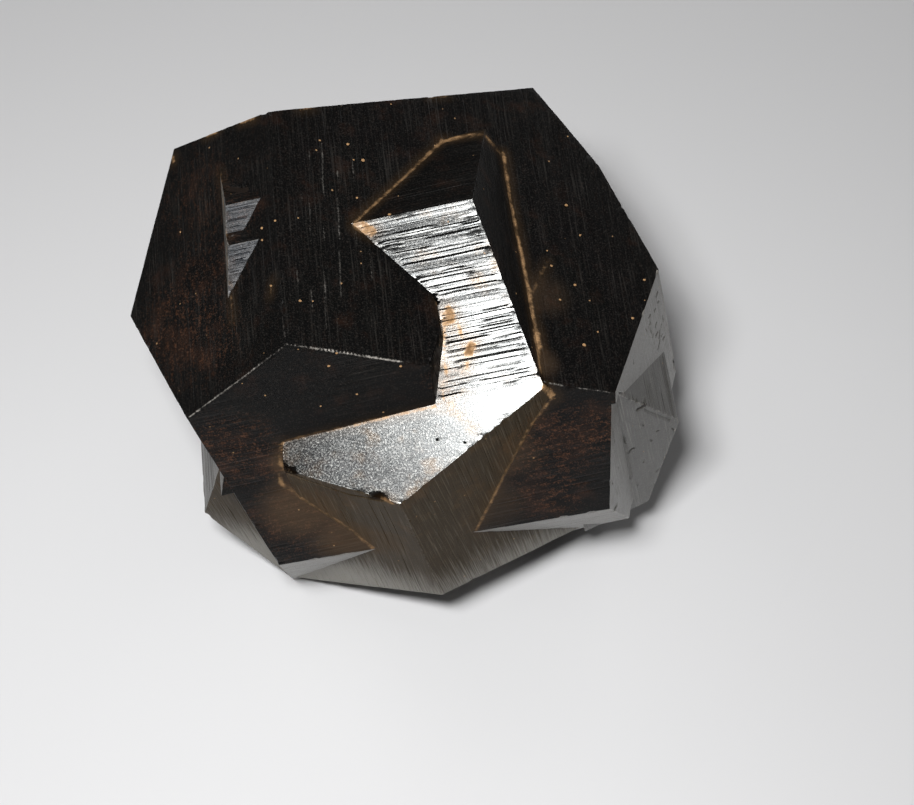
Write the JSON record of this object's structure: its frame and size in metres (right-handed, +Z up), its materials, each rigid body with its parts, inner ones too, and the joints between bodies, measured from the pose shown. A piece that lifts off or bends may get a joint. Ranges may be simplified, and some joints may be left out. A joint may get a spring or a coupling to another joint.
{
  "type": "pyrite cluster",
  "caption": "Dark brown iron-cross twin of pyrite altered at its surface: two intergrown crystals with flat striated pentagonal faces, resting on a flat patch underneath.",
  "frame": {"origin": "middle of the bounding box's bottom, on the surface that the cluster rests on", "axes": "+Z up as it rests in the picture, -Y towards the viewer, +X to the viewer's right"},
  "size_m": [0.0454, 0.0416, 0.0372],
  "materials": {
    "oxidised_pyrite": "dark brown-black oxidised crystal faces, striated, from dull to a bright submetallic sheen, with tan dust in the creases"
  },
  "bodies": {
    "root": {"crystal_cluster": "oxidised_pyrite"}
  },
  "joints": []
}
